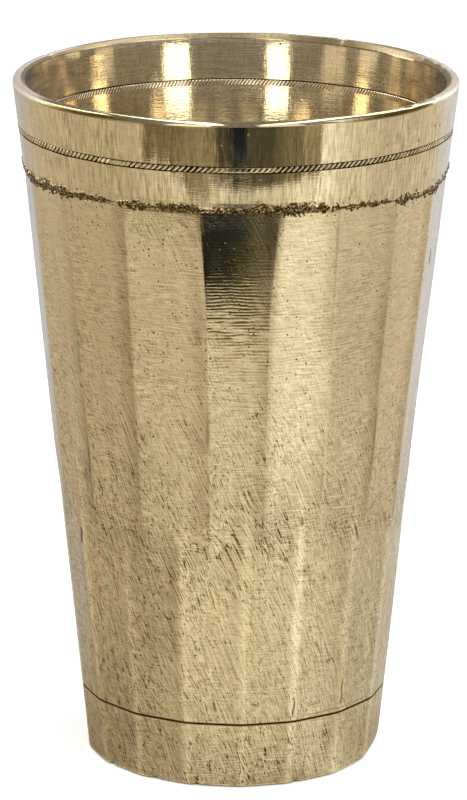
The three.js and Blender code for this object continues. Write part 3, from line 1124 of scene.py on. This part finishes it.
# The crusted seam under the collar: gaps and ropes have an angle and a reach, and sags a depth as well
SEAM_LEVEL = (COLLAR_FOOT + BODY_TOP) / 2 - 0.2
SEAM_REACH = 4.6
SEAM_STROKES = 262
SEAM_COLUMNS = 1572
SEAM_ROWS = 84
SEAM_GAPS = [(-7.5, 2.2), (29.5, 1.8), (-34, 2.5), (46, 2), (100, 4), (-140, 3)]
SEAM_ROPES = [(-5, 5), (18, 14), (130, 20)]
SEAM_SAG = 0.35
SEAM_SAGS = [(56, 30, 0.75), (66, 16, 1.0), (-62, 25, 0.25)]
SEAM_DRIFT = 0.3
SEAM_BACK = 1.6
SEAM_BURIED = 0.3
CRUST_HEIGHT = 0.12
CRUST_LIMIT = 1.7
ROPE_DEPTH = 0.12
ROPE_WIDTH = 0.45
ROPE_LEAN = 0.9
STEP_BELOW_MIDDLE = 0.7
STEP_HEIGHT = 1.4


def seam_middle(angles, surface):
    """Height of the crust's middle at each angle: it wanders, and sags in places."""
    drift = fractal(surface[:1], 24.0, 2)[0]
    sag = SEAM_SAG + sum(depth * patch(angles, angle, width) for angle, width, depth in SEAM_SAGS)
    return SEAM_LEVEL + SEAM_DRIFT * drift - sag


def seam_crust(angles, offset, surface, grain):
    """How far crust covers the seam, from 0 to 1: offset is the height over its middle."""
    swell = fractal(surface[:1] + 40, 8.0, 3)[0]
    lumps = fractal(surface + 90, 2.6, 3)
    half = np.clip(1.0 + 0.85 * swell, 0.35, 1.4)
    for angle, width in SEAM_GAPS:
        half = half * (1 - 0.85 * patch(angles, angle, width))
    cover = 1 - np.abs(offset) / half[None, :] + 0.65 * lumps + grain
    cover = np.clip(cover, -1, 1) - 2 * soft_step(np.abs(offset), CRUST_LIMIT, 0.6)
    return smooth(cover / 0.18)


def seam_rope(angles, heights):
    """Rope-like strokes along the top of the wall, from 0 to 1."""
    ropes = sum(patch(angles, angle, width) for angle, width in SEAM_ROPES)
    leaning = ROPE_LEAN * (heights[:, None] - BODY_TOP)
    strokes = 0.5 + 0.5 * np.cos(2 * np.pi * (SEAM_STROKES * angles[None, :] / 360 - leaning))
    return strokes * band(heights, BODY_TOP, ROPE_WIDTH) * np.clip(ropes, 0, 1)


def seam_face(angles, heights, middle):
    """Radius of the bare seam, from the wall's to the collar's, and where it is buried, from 0 to 1."""
    foot = middle - STEP_BELOW_MIDDLE
    under_collar = soft_step(heights, COLLAR_FOOT, 0.2)[:, None]
    under_wall = smooth((np.minimum(foot + 0.2, BODY_TOP + 0.1)[None, :] - heights[:, None]) / 0.3)
    blend = soft_step(heights[:, None], foot[None, :], STEP_HEIGHT)
    face = wall_radius(angles, heights) * (1 - blend) + collar_radius(heights)[:, None] * blend
    return face, np.maximum(under_collar, under_wall)


def collar_seam():
    """The filler band between collar and wall: bare metal in places, ragged dark crust in others."""
    angles = ring_angles(SEAM_COLUMNS)
    heights = np.linspace(SEAM_LEVEL - SEAM_REACH, SEAM_LEVEL + SEAM_REACH, SEAM_ROWS)
    around = outer_radius(SEAM_LEVEL)
    surface = ring_points(np.full((SEAM_ROWS, 1), around), heights[:, None], angles)
    middle = seam_middle(angles, surface)
    offset = heights[:, None] - middle[None, :]
    grain = fractal(surface, 0.8, 3)
    specks = fractal(surface + 160, 0.5, 2)
    crust = seam_crust(angles, offset, surface, grain)
    rope = seam_rope(angles, heights)
    dots = soft_step(fractal(surface + 230, 0.9, 1), 0.42, 0.12) * bell(np.abs(offset), 2.0)
    face, buried = seam_face(angles, heights, middle)
    lumps = crust * (CRUST_HEIGHT + 0.2 * grain + 0.1 * specks)
    rise = -SEAM_BURIED * buried * (1 - crust) + lumps - ROPE_DEPTH * rope
    back = around - SEAM_BACK
    rows = list(zip(face + rise, heights)) + [(back, heights[-1]), (back, heights[0])]
    row_radii, row_heights = stack_rows(rows, SEAM_COLUMNS)
    dirt_and_shade = np.ones_like(row_radii)
    dark = crust * (1 - 0.8 * soft_step(specks, 0.2, 0.1))
    dirt_and_shade[:SEAM_ROWS] = np.clip(np.maximum(np.maximum(dark, dots), 0.85 * rope), 0.03, 1)
    points = swayed(ring_points(row_radii, row_heights, angles))
    ring_piece("collar_seam", points, [BRAZE], ["collar_braze"], {"dirt_and_shade": dirt_and_shade})


FOOT_SEAM_COLUMNS = 360
FOOT_SEAM_ROWS = 5


def foot_seam():
    """The dark filler at the bottom of the line above the foot."""
    low, high = foot_seam_low.z, foot_seam_high.z
    angles = ring_angles(FOOT_SEAM_COLUMNS)
    heights = np.linspace(low, high, FOOT_SEAM_ROWS)
    out = foot_seam_high.x
    surface = ring_points(np.full((FOOT_SEAM_ROWS, 1), out), heights[:, None], angles)
    radii = out - 0.06 + 0.05 * fractal(surface, 1.5, 2)
    back = inner_radius(low) + FOOT_SPIGOT_WALL + CLEARANCE
    rows = list(zip(radii, heights)) + [(back, high), (back, low)]
    row_radii, row_heights = stack_rows(rows, FOOT_SEAM_COLUMNS)
    points = ring_points(row_radii, row_heights, angles)
    dirt_and_shade = np.ones(points.shape[:2])
    ring_piece("foot_seam_fill", points, [BRAZE], ["foot_braze"], {"dirt_and_shade": dirt_and_shade})


# Turned rings and a centre mark on both faces of the disc
DISC_COLUMNS = 180
DISC_RINGS = 40
RING_DEPTH = 0.05
RING_RATE = 2.1
CENTRE_DEPTH = 0.25
CENTRE_WIDTH = 1.5
FACE_RECESS = 0.06


def base_disc():
    """The bottom of the cup: a turned disc with shallow rings and a centre mark on both faces."""
    columns = DISC_COLUMNS
    edge_low = inner_radius(RECESS) + FOOT_SPIGOT_WALL
    edge_high = inner_radius(CUP_FLOOR) + FOOT_SPIGOT_WALL
    reach = np.linspace(0.6, edge_low - 0.4, DISC_RINGS)
    rings = RING_DEPTH * np.sin(reach * RING_RATE) + CENTRE_DEPTH * bell(reach, CENTRE_WIDTH)
    under = list(zip(reach, RECESS + FACE_RECESS + rings))
    over = list(zip(reach[::-1], (CUP_FLOOR - FACE_RECESS - rings)[::-1]))
    rows = under + [(edge_low, RECESS), (edge_high, CUP_FLOOR)] + over
    radii, heights = stack_rows(rows, columns)
    points = ring_points(radii, heights, ring_angles(columns)).reshape(-1, 3)
    faces = ring_faces(len(rows), columns)[: (len(rows) - 1) * columns]
    poles = [[0, 0, under[0][1]], [0, 0, over[-1][1]]]
    points = np.concatenate([points, poles])
    low_pole = len(rows) * columns
    last = (len(rows) - 1) * columns
    for column in range(columns):
        following = (column + 1) % columns
        faces.append([low_pole, following, column])
        faces.append([low_pole + 1, last + column, last + following])
    piece("cup_base", points, faces, [BORED], ["base_disc"])


def base_fillet():
    """The braze fillet in the corner of the cup's floor, a little lumpy."""
    columns = 240
    angles = ring_angles(columns)
    corner = fillet_high.x
    low, high = fillet_low.z, fillet_high.z
    size = high - low
    face = arc((corner - size, high), size, 0, -90, 8)
    profile = [(inner_radius(low) - CLEARANCE, low), (inner_radius(high) - CLEARANCE, high)] + face
    radii, heights = stack_rows(profile, columns)
    points = ring_points(radii, heights, angles)
    lumps = 0.12 * fractal(points, 3.0, 3)
    lumps[:2] = 0
    points[..., 2] += np.where(heights > low + 0.05, lumps, 0)
    dirt_and_shade = np.full(radii.shape, 0.55) + 0.5 * fractal(points, 2.0, 3)
    ring_piece("base_fillet", points, [BRAZE], ["base_braze"], {"dirt_and_shade": np.clip(dirt_and_shade, 0, 1)})


faceted_body()
foot_ring()
rim_collar()
knurl_ring(
    "collar_knurl", TURNED, collar_radius, side=1, level=KNURL_LEVEL, height=KNURL_HEIGHT, gap=KNURL_GAP,
    strokes=KNURL_STROKES, breadth=0.42, depth=0.3, wear=0.9, stain_and_shade=1.5, low_line=1,
)
knurl_ring(
    "mouth_knurl", BORED, inner_radius, side=-1, level=INNER_KNURL_LEVEL, height=INNER_KNURL_HEIGHT,
    gap=INNER_KNURL_GAP, strokes=INNER_KNURL_STROKES, breadth=0.15, depth=0.07, wear=0, stain_and_shade=0.8, low_line=0,
)
collar_seam()
foot_seam()
base_disc()
base_fillet()


# Studio
FLOOR_SIZE = 12.0
FLOOR_DROP = 0.0002
FLOOR_COLOUR = (0.85, 0.85, 0.85, 1)
FLOOR_GLOW = 0.5
FLOOR_GLOW_IN_METAL = 0.34
WORLD_LEVEL = 0.3

# Tint of the floor as the metal sees it: angles from the front that it spans, and colour
TINTS = [
    ([-180], (0.56, 0.565, 0.6)),
    ([-157], (0.52, 0.52, 0.55)),
    ([-120, -62], (0.53, 0.475, 0.405)),
    ([-46, -36], (0.68, 0.63, 0.56)),
    ([-24, -5], (0.81, 0.775, 0.71)),
    ([8], (0.78, 0.75, 0.685)),
    ([26], (0.76, 0.73, 0.67)),
    ([36, 46], (1, 1, 1)),
    ([60, 68], (0.74, 0.71, 0.66)),
    ([80, 122], (0.6, 0.56, 0.51)),
    ([138, 170], (0.6, 0.61, 0.66)),
    ([180], (0.56, 0.565, 0.6)),
]
TINT_NEAR = 0.002
TINT_REACH = 1.6
TINT_LEVEL = 0.0005

# Dark cards in front of the cup: from and to, in degrees from the front, nearest distance and colour
FLAG_REACH = 5.0
FLAG_LEVEL = 0.001
FLAGS = [
    (-48.5, -46.5, 0.357, (0.5, 0.43, 0.32)),
    (-46.5, -40, 0.357, (0.23, 0.19, 0.125)),
    (-40, -33, 0.347, (0.265, 0.22, 0.145)),
    (-33, -25.5, 0.338, (0.26, 0.215, 0.145)),
    (-25.5, -14.4, 0.329, (0.36, 0.3, 0.205)),
    (-14.4, -9.1, 0.336, (0.31, 0.265, 0.19)),
    (-9.1, -1.9, 0.337, (0.085, 0.078, 0.06)),
    (-1.9, 5.2, 0.335, (0.018, 0.024, 0.036)),
    (5.2, 14.5, 0.334, (0.1, 0.094, 0.07)),
    (14.5, 19, 0.3335, (0.1, 0.092, 0.068)),
    (19, 24, 0.337, (0.165, 0.145, 0.1)),
    (24, 34, 0.341, (0.23, 0.2, 0.135)),
    (34, 44, 0.347, (0.42, 0.36, 0.25)),
]

# Dark cards that hang before the front flat, which alone sees them: from and to, and colour
HANGING_NEAR = 0.164
HANGING_FAR = 0.206
HANGING_LEVEL = 0.06
HANGING_FLAGS = [
    (-10, -0.9, (0.016, 0.018, 0.016)),
    (-0.9, -0.3, (0.075, 0.07, 0.05)),
    (-0.3, 0.7, (0.012, 0.018, 0.024)),
    (0.7, 1.7, (0.045, 0.05, 0.042)),
    (1.7, 3, (0.09, 0.085, 0.06)),
    (3, 12, (0.15, 0.13, 0.08)),
]

# Lit stretches of the floor beside the foot: from and to, and colour
LIT_NEAR = 0.045
LIT_FAR = 0.16
LIT_LEVEL = 0.0015
LIT_STRETCHES = [
    (-180, -122, (0.56, 0.6, 0.7)),
    (78, 125, (0.72, 0.7, 0.68)),
]

# Bright upright cards: angle from the front, distance, width, low and high edge, and brightness
CARDS = [
    ("left_pane", -113, 1.1, 0.54, 0.1, 1.7, 4.5),
    ("right_pane", 133.5, 1.1, 0.44, 0.1, 1.7, 4.5),
    ("left_front_pane", -24, 1.2, 0.5, 0.25, 1.4, 1.2),
    ("right_front_pane", 23, 1.2, 0.5, 0.25, 1.4, 1.2),
    ("right_side_pane", 67, 1.2, 0.6, 0.25, 1.4, 1.2),
]

# Skylights over the lip: left and right edge, front and back edge, height and brightness
SKYLIGHTS = [
    ("left_skylight", -0.25, -0.1, -0.9, 1.8, 1.1, 4.0),
    ("right_skylight", 0.21, 0.4, -0.9, 1.8, 1.1, 4.5),
]

# Lamps that face the cup: angle from the front, distance, height, width, how tall and brightness
LAMP_AIM = (0, 0, 0.08)
LAMPS = [
    ("left_window", -107, 1.1, 0.45, 0.35, 0.8, 7.8),
    ("right_window", 127, 1.1, 0.45, 0.33, 0.8, 8.2),
    ("overhead", 35, 0.45, 1.2, 0.9, 0.9, 3.5),
]

# Degrees between the corners of a curved sheet
SECTOR_STEP = 6

# The floor is in half shade close to the foot
SHADE_NEAR = 0.034
SHADE_FAR = 0.1
SHADE_LEVEL = 0.8


def place(angle, distance, height):
    """A point at an angle from the front and a distance from the cup's axis, in metres."""
    turn = math.radians(angle)
    return Vector((distance * math.sin(turn), -distance * math.cos(turn), height))


def plane(name, corners, material):
    """A flat four-cornered sheet of the studio, in metres."""
    mesh = bpy.data.meshes.new(name)
    mesh.from_pydata(corners, [], [list(range(len(corners)))])
    mesh.materials.append(material)
    made = put(name, mesh)
    return made


def floor_material():
    """A pale matt floor that looks white, to the eye and in the metal, and keeps shadows."""
    shader = Shader("studio_floor")
    path = shader.add("ShaderNodeLightPath").outputs
    matt = shader.add("ShaderNodeBsdfDiffuse", {"Color": FLOOR_COLOUR})
    eye = shader.times(path["Is Camera Ray"], FLOOR_GLOW)
    seen = shader.times(path["Is Glossy Ray"], FLOOR_GLOW_IN_METAL)
    strength = shader.math("ADD", eye, seen)
    glow = shader.add("ShaderNodeEmission", {"Color": (1, 1, 1, 1), "Strength": strength})
    both = shader.add("ShaderNodeAddShader", {0: matt.outputs[0], 1: glow.outputs[0]})
    return shader.surface(both)


def only_reflected(sheet):
    """Leaves a sheet of the studio to reflections."""
    sheet.visible_camera = False
    sheet.visible_diffuse = False
    sheet.visible_shadow = False


def glowing(name, colour, strength):
    """A material that gives off an even light."""
    shader = Shader(name)
    glow = shader.add("ShaderNodeEmission", {"Color": (*colour, 1), "Strength": strength})
    return shader.surface(glow)


def sector(name, span, near, far, level, material):
    """A flat sheet over the floor, between two angles from the front and two distances from the cup."""
    angles = np.linspace(span[0], span[1], 2 + int(span[1] - span[0]) // SECTOR_STEP)
    inner = [place(angle, near, level) for angle in angles]
    outer = [place(angle, far, level) for angle in angles[::-1]]
    only_reflected(plane(name, inner + outer, material))


def floor_tint():
    """A tinted film over the floor, darker at the foot, that only reflections see."""
    shader = Shader("floor_tint")
    axes = shader.add("ShaderNodeSeparateXYZ", {0: shader.position}).outputs
    angle = shader.math("ARCTAN2", axes[0], shader.times(axes[1], -1.0))
    share = shader.remap(angle, -math.pi, math.pi)
    stops = [((angle + 180) / 360, tint) for span, tint in TINTS for angle in span]
    colour = shader.ramp(share, stops)
    away = shader.add("ShaderNodeVectorMath", {0: shader.position}, operation="LENGTH").outputs["Value"]
    near = shader.remap(away, SHADE_NEAR, SHADE_FAR, SHADE_LEVEL, 1.0)
    clear = shader.add("ShaderNodeBsdfTransparent", {"Color": shader.vector("MULTIPLY", colour, near)})
    sector("floor_tint", (-180, 180), TINT_NEAR, TINT_REACH, TINT_LEVEL, shader.surface(clear))


def flag(name, span, near, far, level, colour):
    """A level card that only reflections see, glowing evenly in its colour as a painted reflection."""
    sector(name, span, near, far, level, glowing(name, colour, 1.0))


def card(name, azimuth, distance, width, low, high, brightness):
    """An upright bright card that only reflections see, at an angle from the front."""
    centre = place(azimuth, distance, 0)
    side = place(azimuth + 90, width / 2, 0)
    feet = [centre - side, centre + side]
    corners = [(*foot.xy, low) for foot in feet] + [(*foot.xy, high) for foot in feet[::-1]]
    only_reflected(plane(name, corners, glowing(name, (1, 1, 1), brightness)))


def skylight(name, left, right, front, back, height, brightness):
    """A level bright card above the cup that only reflections see."""
    corners = [(left, front, height), (right, front, height), (right, back, height), (left, back, height)]
    only_reflected(plane(name, corners, glowing(name, (1, 1, 1), brightness)))


def lamp(name, azimuth, distance, height, width, tall, brightness):
    """A soft upright lamp that faces the cup, at an angle from the front."""
    data = bpy.data.lights.new(name, "AREA")
    data.shape = "RECTANGLE"
    data.size = width
    data.size_y = tall
    data.energy = brightness * math.pi * width * tall
    made = put(name, data)
    made.location = place(azimuth, distance, height)
    made.rotation_euler = (Vector(LAMP_AIM) - made.location).to_track_quat("-Z", "Y").to_euler()
    made.visible_glossy = False


def world():
    """White to the eye, and an even soft grey as light."""
    made = bpy.data.worlds.new("studio")
    made.use_nodes = True
    tree = made.node_tree
    path = tree.nodes.new("ShaderNodeLightPath")
    strength = tree.nodes.new("ShaderNodeMapRange")
    strength.inputs[3].default_value = WORLD_LEVEL
    strength.inputs[4].default_value = 1.0
    tree.links.new(path.outputs["Is Camera Ray"], strength.inputs["Value"])
    background = tree.nodes["Background"]
    background.inputs["Color"].default_value = (1, 1, 1, 1)
    tree.links.new(strength.outputs[0], background.inputs["Strength"])
    bpy.context.scene.world = made


def studio():
    """The floor, what the metal mirrors, the lamps and the world."""
    half = FLOOR_SIZE / 2
    z = -FLOOR_DROP
    plane("floor", [(-half, -half, z), (half, -half, z), (half, half, z), (-half, half, z)], floor_material())
    floor_tint()
    for number, (start, end, near, colour) in enumerate(FLAGS):
        flag(f"flag_{number}", (start, end), near, FLAG_REACH, FLAG_LEVEL, colour)
    for number, (start, end, colour) in enumerate(HANGING_FLAGS):
        flag(f"hanging_flag_{number}", (start, end), HANGING_NEAR, HANGING_FAR, HANGING_LEVEL, colour)
    for number, (start, end, colour) in enumerate(LIT_STRETCHES):
        flag(f"lit_stretch_{number}", (start, end), LIT_NEAR, LIT_FAR, LIT_LEVEL, colour)
    for values in CARDS:
        card(*values)
    for values in SKYLIGHTS:
        skylight(*values)
    for values in LAMPS:
        lamp(*values)
    world()


# Camera: on the photograph's viewing line, a long way off with a long lens
CAMERA_SHIFT = -0.0002
CAMERA_DISTANCE = 1.11403
CAMERA_HEIGHT = 0.38994
CAMERA_PITCH = 0.26967
CAMERA_ROLL = 0.0054
CAMERA_LENS = 226.47


def camera():
    """The camera that the photograph was taken with, as near as it could be fitted."""
    data = bpy.data.cameras.new("camera")
    data.lens = CAMERA_LENS
    made = put("camera", data)
    tilt = Matrix.Rotation(math.pi / 2 - CAMERA_PITCH, 4, "X")
    roll = Matrix.Rotation(CAMERA_ROLL, 4, "Z")
    made.matrix_world = Matrix.Translation((CAMERA_SHIFT, -CAMERA_DISTANCE, CAMERA_HEIGHT)) @ tilt @ roll
    bpy.context.scene.camera = made


studio()
camera()
bpy.context.scene.view_settings.view_transform = "Standard"
